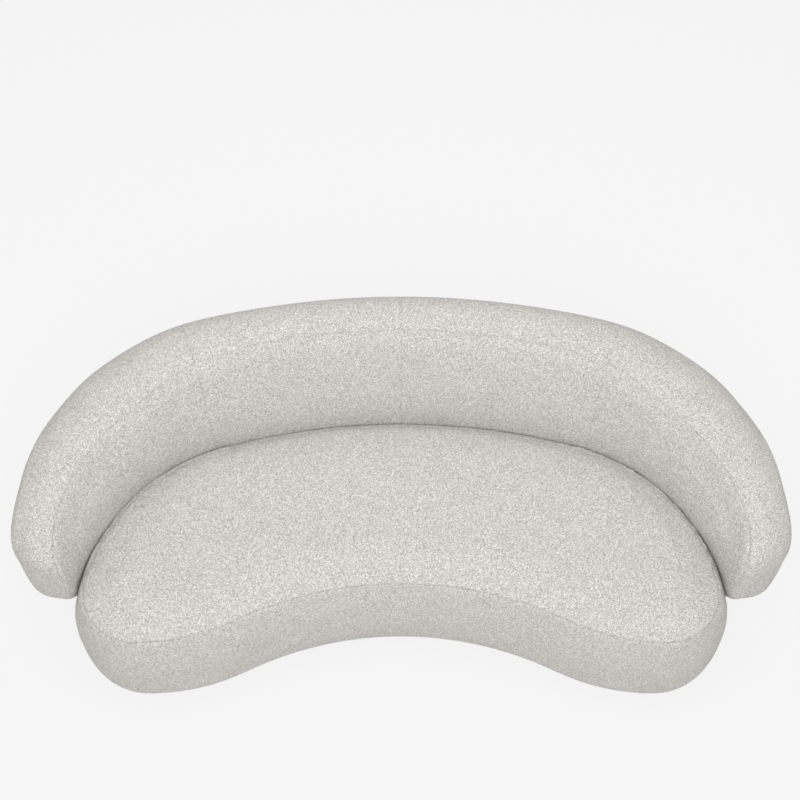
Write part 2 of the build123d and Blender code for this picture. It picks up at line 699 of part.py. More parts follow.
def drilled(board, places, diameter):
    """A board with an upright hole of a diameter at each place."""
    for place in places:
        board = board - rod(place, diameter, 0, DECK_HEIGHT)
    return board


def drilled_for_nuts(board, screws, feet):
    """A frame board with the holes that its tee nuts sit in."""
    wall = 2 * (NUT_WALL + NUT_HOLE_PLAY)
    board = drilled(board, screws, SCREW_NUT_BORE + wall)
    return solids_of(drilled(board, feet, STUD_NUT_BORE + wall))


def drilled_cloth(cloth, screws, feet):
    """A dust cloth with clear holes for the screws and studs that pass through it."""
    cloth = drilled(cloth, screws, SCREW_DIAMETER + CLOTH_HOLE_PLAY)
    return solids_of(drilled(cloth, feet, STUD_DIAMETER + CLOTH_HOLE_PLAY))


def tee_nut(place, bore):
    """A tee nut: a barrel inside the board and a flange on top of it."""
    barrel = rod(place, bore + 2 * NUT_WALL, PANEL_TOP - NUT_BARREL, PANEL_TOP)
    flange = rod(place, bore + 2 * NUT_FLANGE_OVERHANG, PANEL_TOP, PANEL_TOP + NUT_FLANGE)
    return barrel + flange - rod(place, bore, 0, DECK_HEIGHT)


def joining_plate(turn):
    """A flat steel bar that ties the seat's base to the back's base."""
    start = back_point(turn, PLATE_SEAT_SCREWS[0] - PLATE_MARGIN, GROUND_CLEARANCE)
    end = back_point(turn, PLATE_BACK_SCREWS[-1] + PLATE_MARGIN, GROUND_CLEARANCE)
    along = (end - start).normalized()
    side = Vector(-along.Y, along.X, 0) * (PLATE_WIDTH / 2)
    face = Face(Wire.make_polygon([start - side, end - side, end + side, start + side]))
    bar = extrude(face, PLATE_THICKNESS, dir=(0, 0, -1))
    places = [back_point(turn, reach) for reach in PLATE_SEAT_SCREWS + PLATE_BACK_SCREWS]
    return drilled(bar, places, SCREW_DIAMETER + SCREW_HOLE_PLAY)


def joining_screw(place):
    """A pan-headed screw up through a plate into its tee nut."""
    seat = GROUND_CLEARANCE - PLATE_THICKNESS
    head = rod(place, SCREW_HEAD_DIAMETER, seat - SCREW_HEAD_HEIGHT, seat)
    return head + rod(place, SCREW_DIAMETER, seat, PANEL_TOP + NUT_FLANGE + SCREW_END)


def foot_pad(place):
    """A moulded glide: a broad rounded disc with a hub for its stud."""
    disc = rod(place, FOOT_DIAMETER, 0, FOOT_DISC)
    disc = fillet(disc.edges().filter_by(GeomType.CIRCLE), FOOT_EDGE_ROUND)
    hub = rod(place, FOOT_HUB_DIAMETER, FOOT_DISC, FOOT_HEIGHT)
    hole = rod(place, STUD_DIAMETER + 2 * STUD_SEAT_FIT, FOOT_HEIGHT - STUD_DEPTH, FOOT_HEIGHT)
    return disc + hub - hole


def foot_stud(place):
    """The threaded stud of a foot, as a plain round bar."""
    return rod(place, STUD_DIAMETER, FOOT_HEIGHT - STUD_DEPTH, PANEL_TOP + STUD_ABOVE_FRAME)


os.makedirs("parts", exist_ok=True)


def save(name, shape):
    """Write one piece of the sofa under its own name."""
    export_step(solids_of(shape), os.path.join("parts", name + ".step"))


# Seat frame
panel = seat_slab(FRAME_INSET, PANEL_BOTTOM, PANEL_TOP)
save("seat_bottom_panel", drilled_for_nuts(panel, SEAT_SCREWS, SEAT_FEET.values()))
ring = seat_slab(FRAME_INSET, RIB_TOP, DECK_HEIGHT)
save("seat_deck_ring", ring - seat_slab(FRAME_INSET + DECK_RING_WIDTH, RIB_TOP, DECK_HEIGHT))
skirt_heights = (PANEL_TOP, RIB_TOP)


def skirt_arc(centre, radius, start, end):
    """A stretch of the seat's bent skirt board, inside a convex arc of the plan."""
    outer = radius - FRAME_INSET
    return sector(centre, (outer - BENT_PLY, outer), (start, end), skirt_heights)


rear_start, side_start = 90 + SEAT_REAR_HALF_ANGLE, 90 + SEAT_SIDE_TURN
save("seat_skirt_rear", skirt_arc(REAR_CENTRE, SEAT_REAR_RADIUS, 180 - rear_start, rear_start))
skirt_left = skirt_arc(SIDE_CENTRE, SEAT_SIDE_RADIUS, rear_start, side_start)
skirt_left += skirt_arc(CORNER_CENTRE, SEAT_CORNER_RADIUS, side_start, 270)
skirt_left += skirt_arc(LOBE_CENTRE, SEAT_LOBE_RADIUS, 270, 270 + FRONT_HALF_ANGLE)
save("seat_skirt_left", skirt_left)
save("seat_skirt_right", mirrored(skirt_left))
front_radii = (SEAT_FRONT_RADIUS + FRAME_INSET, SEAT_FRONT_RADIUS + FRAME_INSET + BENT_PLY)
front_angles = (90 - FRONT_HALF_ANGLE, 90 + FRONT_HALF_ANGLE)
save("seat_skirt_front", sector(FRONT_CENTRE, front_radii, front_angles, skirt_heights))

inside_skirt = seat_slab(FRAME_INSET + BENT_PLY + FRAME_FIT, PANEL_TOP, RIB_TOP)
rib_pitch = -CORNER_CENTRE[0] * SEAT_RIB_PITCH_SHARE
for rib, place in (("inner", 0.5), ("outer", 1.5)):
    for side, sign in (("left", -1), ("right", 1)):
        web = Pos(sign * place * rib_pitch, 0, 0) * Box(PLY, CUT_SIZE, CUT_SIZE)
        save(f"seat_rib_{side}_{rib}", inside_skirt & web)

# Seat webbing: short straps front to back, long straps laid over them
strap_field = seat_slab(FRAME_INSET + SEAT_WEB_EDGE, DECK_HEIGHT, DECK_HEIGHT + WEB_THICKNESS)
short_count = int(-CORNER_CENTRE[0] / SEAT_WEB_PITCH + 0.5)
short_places = [side * (i + 0.5) * SEAT_WEB_PITCH for i in range(short_count) for side in (1, -1)]
short_cut = Box(WEB_WIDTH, CUT_SIZE, CUT_SIZE)
save("seat_webbing_short", solids_of(*[strap_field & (Pos(x, 0, 0) * short_cut) for x in short_places]))
long_field = Pos(0, 0, WEB_THICKNESS) * strap_field
long_cut = Box(CUT_SIZE, WEB_WIDTH, CUT_SIZE)
long_places = [SEAT_REAR_Y - setback for setback in SEAT_LONG_WEB_SETBACKS]
save("seat_webbing_long", solids_of(*[long_field & (Pos(0, y, 0) * long_cut) for y in long_places]))

# Seat foam: a border round the frame, a core on the webbing and a crowned topper
skin = seat_edge(FOAM_DEPTH)


def filled(ring, low, high):
    """A ring of the seat's edge with the flat middle that it surrounds."""
    return ring + seat_slab(SEAT_PLATEAU_INSET, low, high)


topper_edge = skin["side_at"](SEAT_TOPPER_UNDERSIDE)
topper_foot = (SEAT_PLATEAU_INSET, SEAT_TOPPER_UNDERSIDE)
topper = round_the_seat(
    (topper_foot, topper_edge),
    (topper_edge, skin["side_between"](SEAT_TOPPER_UNDERSIDE, skin["seam"][1]), skin["seam"]),
    (skin["seam"], skin["mid_crown"], skin["plateau"]),
    (skin["plateau"], topper_foot),
)
save("seat_foam_topper", filled(topper, SEAT_TOPPER_UNDERSIDE, skin["plateau"][1]))
core_edge = skin["side_at"](WEB_TOP)
core_foot = (SEAT_PLATEAU_INSET, WEB_TOP)
core = round_the_seat(
    (core_foot, core_edge),
    (core_edge, skin["side_between"](WEB_TOP, SEAT_TOPPER_UNDERSIDE), topper_edge),
    (topper_edge, topper_foot),
    (topper_foot, core_foot),
)
save("seat_foam_core", filled(core, WEB_TOP, SEAT_TOPPER_UNDERSIDE))
border_height = WEB_TOP - LAYER_GAP
border_edge = skin["side_at"](border_height)
border_top = (FRAME_INSET - LAYER_GAP, border_height)
border_foot = (FRAME_INSET - LAYER_GAP, skin["under_edge"][1])
border = round_the_seat(
    (border_top, border_edge),
    (border_edge, skin["side_between"](SEAT_UPRIGHT_TOP, border_height), skin["upright_top"]),
    (skin["upright_top"], skin["upright_foot"]),
    (skin["upright_foot"], skin["mid_foot"], skin["under_edge"]),
    (skin["under_edge"], border_foot),
    (border_foot, border_top),
)
save("seat_foam_border", border)

# Seat wadding over the foam, and the sewn cover: a crowned top panel and a band with its hem
over, under = seat_edge(WADDING_DEPTH), seat_edge(WADDING_DEPTH + WADDING)
wadding = round_the_seat(
    (over["plateau"], over["mid_crown"], over["seam"]),
    (over["seam"], over["mid_side"], over["upright_top"]),
    (over["upright_top"], over["upright_foot"]),
    (over["upright_foot"], under["upright_foot"]),
    (under["upright_foot"], under["upright_top"]),
    (under["upright_top"], under["mid_side"], under["seam"]),
    (under["seam"], under["mid_crown"], under["plateau"]),
    (under["plateau"], over["plateau"]),
)
save("seat_wadding", filled(wadding, under["plateau"][1], over["plateau"][1]))
over, under = seat_edge(0.0), seat_edge(FABRIC)
top_ring = round_the_seat(
    (over["plateau"], over["mid_crown"], over["crown_seam"]),
    (over["crown_seam"], under["crown_seam"]),
    (under["crown_seam"], under["mid_crown"], under["plateau"]),
    (under["plateau"], over["plateau"]),
)
save("seat_cover_top", filled(top_ring, under["plateau"][1], over["plateau"][1]))
hem_over = (SEAT_UNDER_ROUND + SEAT_HEM, UNDERSIDE)
hem_under = (SEAT_UNDER_ROUND + SEAT_HEM, PANEL_BOTTOM)
band = round_the_seat(
    (over["side_seam"], over["mid_side"], over["upright_top"]),
    (over["upright_top"], over["upright_foot"]),
    (over["upright_foot"], over["mid_foot"], over["under_edge"]),
    (over["under_edge"], hem_over),
    (hem_over, hem_under),
    (hem_under, under["under_edge"]),
    (under["under_edge"], under["mid_foot"], under["upright_foot"]),
    (under["upright_foot"], under["upright_top"]),
    (under["upright_top"], under["mid_side"], under["side_seam"]),
    (under["side_seam"], over["side_seam"]),
)
save("seat_cover_band", band)
cloth = seat_slab(SEAT_UNDER_ROUND + SEAT_HEM / 2, GROUND_CLEARANCE, UNDERSIDE)
save("seat_dust_cover", drilled_cloth(cloth, SEAT_SCREWS, SEAT_FEET.values()))

# Back frame
frame_reaches = (BACK_FRAME_FRONT, BACK_FRAME_REAR)
rail = crescent(frame_reaches, (PANEL_BOTTOM, PANEL_TOP), BACK_FRAME_END_TURN)
save("back_bottom_rail", drilled_for_nuts(rail, BACK_SCREWS, BACK_FEET.values()))
save("back_seat_rail", crescent(frame_reaches, (RIB_TOP, DECK_HEIGHT), BACK_FRAME_END_TURN))
top_reaches = (TOP_RAIL_FRONT, BACK_FRAME_REAR)
save("back_top_rail", crescent(top_reaches, (TOP_RAIL_BOTTOM, TOP_RAIL_HEIGHT), BACK_FRAME_END_TURN))
low_rib = [(BACK_FRAME_FRONT, PANEL_TOP), (BACK_FRAME_REAR, PANEL_TOP)]
low_rib += [(BACK_FRAME_REAR, RIB_TOP), (BACK_FRAME_FRONT, RIB_TOP)]
high_rib = [(BACK_FRAME_FRONT, DECK_HEIGHT), (BACK_FRAME_REAR, DECK_HEIGHT)]
high_rib += [(BACK_FRAME_REAR, TOP_RAIL_BOTTOM), (TOP_RAIL_FRONT, TOP_RAIL_BOTTOM)]
rib_turns = both_sides(BACK_RIB_TURNS)
save("back_lower_ribs", solids_of(*[back_rib(turn, low_rib) for turn in rib_turns]))
save("back_upper_ribs", solids_of(*[back_rib(turn, high_rib) for turn in rib_turns]))
board_front = BACK_FRAME_REAR + FRAME_FIT
board_reaches = (board_front, board_front + REAR_BOARD)
save("back_rear_board", crescent(board_reaches, (PANEL_BOTTOM, TOP_RAIL_HEIGHT), BACK_FRAME_END_TURN))
straps = [web_strap(BACK_WEB_FIRST + i * BACK_WEB_PITCH) for i in range(BACK_WEB_COUNT)]
save("back_webbing", solids_of(*straps))

# Back foam, wadding and covers
foam_stretches = arm_to_arm(NOSE_START_TURN)
save("back_foam_inner", lofted(inner_foam_wire, *foam_stretches))
save("back_foam_outer", lofted(outer_foam_wire, *foam_stretches))
nose = nose_block()
save("back_foam_nose_left", nose)
save("back_foam_nose_right", mirrored(nose))
save("back_wadding_inner", lofted(inner_wadding_wire, *foam_stretches))
save("back_wadding_outer", lofted(outer_wadding_wire, *foam_stretches))
rear_gap = math.degrees(SEAM_GAP / 2 / SEAT_REAR_RADIUS)
side_gap = math.degrees(SEAM_GAP / 2 / SEAT_SIDE_RADIUS)
middle = (
    spread_turns(rear_gap, SEAT_REAR_HALF_ANGLE, REAR_STATIONS),
    spread_turns(SEAT_REAR_HALF_ANGLE, BACK_SEAM_TURN - side_gap, JUNCTION_STATIONS),
)
end = (
    spread_turns(BACK_SEAM_TURN + side_gap, NOSE_START_TURN, SIDE_STATIONS),
    [NOSE_START_TURN, *nose_turns(0.0, NOSE_STATIONS)],
)
for face, strip in (("inner", inner_strip), ("outer", outer_strip)):
    for place, stretches in (("middle", middle), ("end", end)):
        panel = back_cover(strip, *stretches)
        save(f"back_cover_{face}_{place}_left", panel)
        save(f"back_cover_{face}_{place}_right", mirrored(panel))
cloth_reaches = (BACK_INNER_HEM - FABRIC, BACK_OUTER_HEM_REACH + FABRIC)
cloth = crescent(cloth_reaches, (GROUND_CLEARANCE, UNDERSIDE), BACK_FRAME_END_TURN)
save("back_dust_cover", drilled_cloth(cloth, BACK_SCREWS, BACK_FEET.values()))

# Joining hardware
save("joining_plates", solids_of(*[joining_plate(turn) for turn in both_sides(PLATE_TURNS)]))
save("joining_screws", solids_of(*[joining_screw(place) for place in SEAT_SCREWS + BACK_SCREWS]))
screw_nuts = [tee_nut(place, SCREW_NUT_BORE) for place in SEAT_SCREWS + BACK_SCREWS]
save("joining_tee_nuts", solids_of(*screw_nuts))

# Levelling feet
feet = {**SEAT_FEET, **BACK_FEET}
save("foot_tee_nuts", solids_of(*[tee_nut(place, STUD_NUT_BORE) for place in feet.values()]))
for name, place in feet.items():
    save(f"foot_pad_{name}", foot_pad(place))
    save(f"foot_stud_{name}", foot_stud(place))
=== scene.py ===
import math

import bpy
import numpy as np
from mathutils.bvhtree import BVHTree
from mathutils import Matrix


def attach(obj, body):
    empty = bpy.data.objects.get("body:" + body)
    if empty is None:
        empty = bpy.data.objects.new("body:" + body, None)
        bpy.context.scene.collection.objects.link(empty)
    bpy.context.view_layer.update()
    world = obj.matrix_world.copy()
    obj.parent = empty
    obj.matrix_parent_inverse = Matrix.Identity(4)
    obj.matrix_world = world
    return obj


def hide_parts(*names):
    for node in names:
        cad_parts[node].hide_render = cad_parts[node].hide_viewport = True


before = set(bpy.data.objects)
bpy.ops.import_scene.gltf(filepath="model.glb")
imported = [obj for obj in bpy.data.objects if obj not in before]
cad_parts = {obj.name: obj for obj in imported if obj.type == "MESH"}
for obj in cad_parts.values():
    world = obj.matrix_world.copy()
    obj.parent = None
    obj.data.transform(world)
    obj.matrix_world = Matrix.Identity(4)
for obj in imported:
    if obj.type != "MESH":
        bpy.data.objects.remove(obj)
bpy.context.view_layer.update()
bpy.ops.object.select_all(action="DESELECT")

# Seat frame
# The seat stands on a plywood carcass: a bottom panel and a deck ring, held apart by four skirt
# boards bent round the outline and by four ribs, all glued and screwed.


def add_node(tree, kind, *ordered, **named):
    """A shader node; a small-letter name is a setting, and any other input a value or an output."""
    made = tree.nodes.new(f"ShaderNode{kind}")
    for key, value in named.items():
        if key[0].islower():
            setattr(made, key, value)
    sockets = {key.replace("_", " "): value for key, value in named.items() if key[0].isupper()}
    for key, value in [*enumerate(ordered), *sockets.items()]:
        if isinstance(value, bpy.types.NodeSocket):
            tree.links.new(value, made.inputs[key])
        else:
            made.inputs[key].default_value = value
    return made


def new_material(name):
    """A material with its node tree and its Principled shader."""
    material = bpy.data.materials.new(name)
    material.use_nodes = True
    return material, material.node_tree, material.node_tree.nodes["Principled BSDF"]


def finish_nodes(material, *names):
    """Gives CAD pieces their finish."""
    for name in names:
        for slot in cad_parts[name].material_slots:
            slot.material = material


# Workshop dust lies in patches over everything inside the cover and round the feet.
dust = bpy.data.node_groups.new("workshop_dust", "ShaderNodeTree")
dust.interface.new_socket("Color", in_out="INPUT", socket_type="NodeSocketColor")
dust.interface.new_socket("Amount", in_out="INPUT", socket_type="NodeSocketFloat")
dust.interface.new_socket("Color", in_out="OUTPUT", socket_type="NodeSocketColor")
dust.interface.new_socket("Roughening", in_out="OUTPUT", socket_type="NodeSocketFloat")
given = dust.nodes.new("NodeGroupInput")
made = dust.nodes.new("NodeGroupOutput")
place = add_node(dust, "TexCoord").outputs["Object"]
patches = add_node(dust, "TexNoise", Vector=place, Scale=17.0, Detail=5.0, Roughness=0.65)
lying = add_node(dust, "MapRange", patches.outputs["Fac"], From_Min=0.42, From_Max=0.72)
share = add_node(dust, "Math", lying.outputs["Result"], given.outputs["Amount"],
                 operation="MULTIPLY")
dusty = add_node(dust, "Mix", data_type="RGBA", Factor=share.outputs[0], A=given.outputs["Color"],
                 B=(0.55, 0.52, 0.47, 1))
dust.links.new(dusty.outputs["Result"], made.inputs["Color"])
dust.links.new(share.outputs[0], made.inputs["Roughening"])

plywood, tree, board = new_material("birch_plywood")
place = add_node(tree, "TexCoord").outputs["Object"]
along_grain = add_node(tree, "Mapping", Vector=place, Scale=(3.0, 42.0, 42.0))
growth = add_node(tree, "TexNoise", Vector=along_grain.outputs[0], Scale=1.6, Detail=5.0,
                  Distortion=0.7)
wood_tone = add_node(tree, "ValToRGB", growth.outputs["Fac"])
wood_tone.color_ramp.elements[0].position = 0.32
wood_tone.color_ramp.elements[0].color = (0.50, 0.34, 0.19, 1)
wood_tone.color_ramp.elements[1].position = 0.70
wood_tone.color_ramp.elements[1].color = (0.70, 0.54, 0.35, 1)
fine_grain = add_node(tree, "Mapping", Vector=place, Scale=(25.0, 900.0, 900.0))
pores = add_node(tree, "TexNoise", Vector=fine_grain.outputs[0], Scale=1.0, Detail=2.0)
pore_shade = add_node(tree, "MapRange", pores.outputs["Fac"], From_Min=0.35, From_Max=0.6,
                      To_Min=0.82)
pored = add_node(tree, "Mix", data_type="RGBA", blend_type="MULTIPLY", Factor=1.0,
                 A=wood_tone.outputs["Color"], B=pore_shade.outputs["Result"])
dusted = add_node(tree, "Group", node_tree=dust, Color=pored.outputs["Result"], Amount=0.35)
tree.links.new(dusted.outputs["Color"], board.inputs["Base Color"])
sheen = add_node(tree, "MapRange", growth.outputs["Fac"], To_Min=0.52, To_Max=0.78)
tree.links.new(sheen.outputs["Result"], board.inputs["Roughness"])
relief = add_node(tree, "Bump", Strength=0.3, Distance=0.0004, Height=pores.outputs["Fac"])
tree.links.new(relief.outputs["Normal"], board.inputs["Normal"])
sides = ("left", "right")
seat_ribs = [f"seat_rib_{side}_{place}" for side in sides for place in ("inner", "outer")]
seat_skirts = [f"seat_skirt_{side}" for side in ("rear", *sides, "front")]
finish_nodes(plywood, "seat_bottom_panel", "seat_deck_ring", *seat_skirts, *seat_ribs)

# Seat springing
# Elastic webbing in a flat weave of tan and dark threads: short straps run from front to back,
# and long ones cross them, each stretched and stapled to the deck ring.

# Two sets of threads cross over and under each other.
weave = bpy.data.node_groups.new("plain_weave", "ShaderNodeTree")
weave.interface.new_socket("Threads per metre", in_out="INPUT", socket_type="NodeSocketFloat")
weave.interface.new_socket("Height", in_out="OUTPUT", socket_type="NodeSocketFloat")
weave.interface.new_socket("Warp", in_out="OUTPUT", socket_type="NodeSocketFloat")
given = weave.nodes.new("NodeGroupInput")
made = weave.nodes.new("NodeGroupOutput")
place = add_node(weave, "SeparateXYZ", add_node(weave, "TexCoord").outputs["Object"])
slant = add_node(weave, "Math", place.outputs["Y"], place.outputs["Z"], operation="ADD")
turn = add_node(weave, "Math", given.outputs["Threads per metre"], math.pi, operation="MULTIPLY")
waves = []
for run in (place.outputs["X"], slant.outputs[0]):
    phase = add_node(weave, "Math", run, turn.outputs[0], operation="MULTIPLY")
    waves.append(add_node(weave, "Math", phase.outputs[0], operation="SINE"))
over = add_node(weave, "Math", waves[0].outputs[0], waves[1].outputs[0], operation="MULTIPLY")
height = add_node(weave, "Math", over.outputs[0], operation="ABSOLUTE")
weave.links.new(height.outputs[0], made.inputs["Height"])
warp = add_node(weave, "Math", over.outputs[0], 0.0, operation="GREATER_THAN")
weave.links.new(warp.outputs[0], made.inputs["Warp"])

webbing, tree, strap = new_material("elastic_webbing")
threads = add_node(tree, "Group", node_tree=weave, Threads_per_metre=620.0)
thread_tone = add_node(tree, "Mix", data_type="RGBA", Factor=threads.outputs["Warp"],
                       A=(0.10, 0.085, 0.07, 1), B=(0.42, 0.33, 0.22, 1))
dusted = add_node(tree, "Group", node_tree=dust, Color=thread_tone.outputs["Result"], Amount=0.3)
tree.links.new(dusted.outputs["Color"], strap.inputs["Base Color"])
strap.inputs["Roughness"].default_value = 0.85
relief = add_node(tree, "Bump", Strength=0.6, Distance=0.0006, Height=threads.outputs["Height"])
tree.links.new(relief.outputs["Normal"], strap.inputs["Normal"])
finish_nodes(webbing, "seat_webbing_short", "seat_webbing_long")

# Back frame
# Three bent plywood rails carry lower and upper ribs, glued and screwed together, and a sheet of
# brown hardboard is nailed round the rear of them.
back_rails = [f"back_{level}_rail" for level in ("bottom", "seat", "top")]
finish_nodes(plywood, *back_rails, "back_lower_ribs", "back_upper_ribs")
hardboard, tree, board = new_material("brown_hardboard")
place = add_node(tree, "TexCoord").outputs["Object"]
fibres = add_node(tree, "TexNoise", Vector=place, Scale=420.0, Detail=4.0, Roughness=0.7)
fibre_tone = add_node(tree, "ValToRGB", fibres.outputs["Fac"])
fibre_tone.color_ramp.elements[0].position = 0.35
fibre_tone.color_ramp.elements[0].color = (0.15, 0.085, 0.045, 1)
fibre_tone.color_ramp.elements[1].position = 0.68
fibre_tone.color_ramp.elements[1].color = (0.33, 0.21, 0.12, 1)
dusted = add_node(tree, "Group", node_tree=dust, Color=fibre_tone.outputs["Color"], Amount=0.4)
tree.links.new(dusted.outputs["Color"], board.inputs["Base Color"])
sheen = add_node(tree, "Math", dusted.outputs["Roughening"], 0.5, 0.48, operation="MULTIPLY_ADD")
tree.links.new(sheen.outputs[0], board.inputs["Roughness"])
relief = add_node(tree, "Bump", Strength=0.25, Distance=0.0003, Height=fibres.outputs["Fac"])
tree.links.new(relief.outputs["Normal"], board.inputs["Normal"])
finish_nodes(hardboard, "back_rear_board")

# Back springing
# The same elastic webbing runs in straps round the front of the upper ribs, stretched and stapled
# to them, so that the foam of the inner face leans on something that gives.
finish_nodes(webbing, "back_webbing")

# Back upholstery
# The back wraps round the seat: foam and wadding over the bent frame, sewn into four inner panels
# and four top-and-rear panels of looped boucle cloth, with a ridge seam round each arm end.
boucle, tree, cloth = new_material("boucle_cloth")
cloth.inputs["Specular IOR Level"].default_value = 0.12
cloth.inputs["Sheen Weight"].default_value = 0.10
cloth.inputs["Sheen Roughness"].default_value = 0.6
place = add_node(tree, "TexCoord").outputs["Object"]
# The yarn wanders, so the loops are drawn on coordinates shaken by a millimetre or two.
shake = add_node(tree, "TexNoise", Vector=place, Scale=240.0, Detail=1.0)
shaken = add_node(tree, "VectorMath", shake.outputs["Color"], (0.0025, 0.0025, 0.0025), place,
                  operation="MULTIPLY_ADD")
loops = add_node(tree, "TexVoronoi", Vector=shaken.outputs[0], Scale=560.0)
strands = add_node(tree, "TexVoronoi", Vector=shaken.outputs[0], Scale=1200.0)
# Each loop has its own shade between off-white and light grey, and painted shade darkens it where
# it dives in.
loop_shade = add_node(tree, "ValToRGB", loops.outputs["Color"])
loop_shade.color_ramp.elements[0].position = 0.15
loop_shade.color_ramp.elements[0].color = (0.34, 0.328, 0.31, 1)
loop_shade.color_ramp.elements[1].position = 0.85
loop_shade.color_ramp.elements[1].color = (1.0, 0.968, 0.922, 1)
# Painted shade: each loop's colour darkens towards its rim, where the yarn dives into the backing.
painted_dive_shade = add_node(tree, "MapRange", loops.outputs["Distance"], From_Min=0.2, From_Max=0.75,
                  To_Min=1.0, To_Max=0.72)
flecks = add_node(tree, "MapRange", strands.outputs["Color"], From_Min=0.2, From_Max=0.8,
                  To_Min=0.86, To_Max=1.1)
# The strand flecks are the yarn's own tone; the dive darkening is painted shade.
flecks_and_painted_shade = add_node(tree, "Math", painted_dive_shade.outputs["Result"], flecks.outputs["Result"],
                  operation="MULTIPLY")
loops_with_painted_shade = add_node(tree, "Mix", data_type="RGBA", blend_type="MULTIPLY", Factor=1.0,
                 A=loop_shade.outputs["Color"], B=flecks_and_painted_shade.outputs[0])
# The dye clouds slowly over the cloth, and painted shade darkens the bottom of each seam.
clouds = add_node(tree, "TexNoise", Vector=place, Scale=14.0, Detail=3.0)
cloud_shade = add_node(tree, "MapRange", clouds.outputs["Fac"], From_Min=0.3, From_Max=0.7,
                       To_Min=0.985, To_Max=1.015)
# Painted shade: the seam crease values darken the cloth's colour along each seam.
painted_seam_shade = add_node(tree, "Attribute", attribute_name="seam_depth")
dye_and_painted_seam_shade = add_node(tree, "Math", painted_seam_shade.outputs["Fac"], -0.22, cloud_shade.outputs["Result"],
                 operation="MULTIPLY_ADD")
cloth_tone_with_painted_shade = add_node(tree, "Mix", data_type="RGBA", blend_type="MULTIPLY", Factor=1.0,
                A=loops_with_painted_shade.outputs["Result"], B=dye_and_painted_seam_shade.outputs[0])
tree.links.new(cloth_tone_with_painted_shade.outputs["Result"], cloth.inputs["Base Color"])
nap = add_node(tree, "MapRange", loops.outputs["Distance"], To_Min=0.88, To_Max=1.0)
tree.links.new(nap.outputs["Result"], cloth.inputs["Roughness"])
# Loops stand up as round knots with finer strands across them.
knots = add_node(tree, "MapRange", loops.outputs["Distance"], interpolation_type="SMOOTHSTEP",
                 From_Min=0.0, From_Max=0.75, To_Min=1.0, To_Max=0.0)
pile = add_node(tree, "Math", strands.outputs["Distance"], -0.45, knots.outputs["Result"],
                operation="MULTIPLY_ADD")
relief = add_node(tree, "Bump", Strength=0.6, Distance=0.002, Height=pile.outputs[0])
tree.links.new(relief.outputs["Normal"], cloth.inputs["Normal"])

# Sizes of the stuffing and sewing, in metres, and the steps that the stuffing takes to settle
cloth_grid = 0.013
stapled_height = 0.06
hidden_height = 0.37
contact_gap = 0.016
panel_gap = 0.0016
seam_margin = 0.009
crease_width = 0.0026
crease_depth = 0.0016
settling_steps = 20


def panel_tree(name):
    """A search tree over one sewn panel's CAD mesh."""
    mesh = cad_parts[name].data
    return BVHTree.FromPolygons([v.co for v in mesh.vertices], [p.vertices for p in mesh.polygons])


def lies_near(point, panels, gap):
    """Whether any of the panels' search trees comes within the gap of the point."""
    return any(panel.find_nearest(point, gap)[0] is not None for panel in panels)


def seam_rims(covers):
    """A search tree over the narrow rim faces along which one panel meets another."""
    trees = {name: panel_tree(name) for name in covers}
    corners, faces = [], []
    for name in covers:
        others = [tree for other, tree in trees.items() if other != name]
        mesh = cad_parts[name].data
        for polygon in mesh.polygons:
            points = [mesh.vertices[i].co for i in polygon.vertices]
            if all(lies_near(point, others, panel_gap) for point in (*points, polygon.center)):
                faces.append(range(len(corners), len(corners) + len(points)))
                corners.extend(points)
    return BVHTree.FromPolygons(corners, faces)


def vertex_array(mesh, field):
    """One vector field of the mesh's vertices as an array."""
    values = np.empty(3 * len(mesh.vertices), np.float32)
    mesh.vertices.foreach_get(field, values)
    return values.reshape(-1, 3)


def seam_distances(points, normals, rims, reach=0.04):
    """How far each point lies from the nearest seam, measured along the cloth."""
    nearest = [rims.find_nearest(point, reach)[0] for point in points]
    found = np.array([place is not None for place in nearest])
    off = points[found] - np.array([place for place in nearest if place is not None])
    lift = (off * normals[found]).sum(axis=1, keepdims=True)
    distances = np.full(len(points), reach)
    distances[found] = np.linalg.norm(off - lift * normals[found], axis=1)
    return distances


def rise(values, low, high):
    """Climbs smoothly from 0 at the low value to 1 at the high one."""
    share = np.clip((values - low) / (high - low), 0, 1)
    return share * share * (3 - 2 * share)


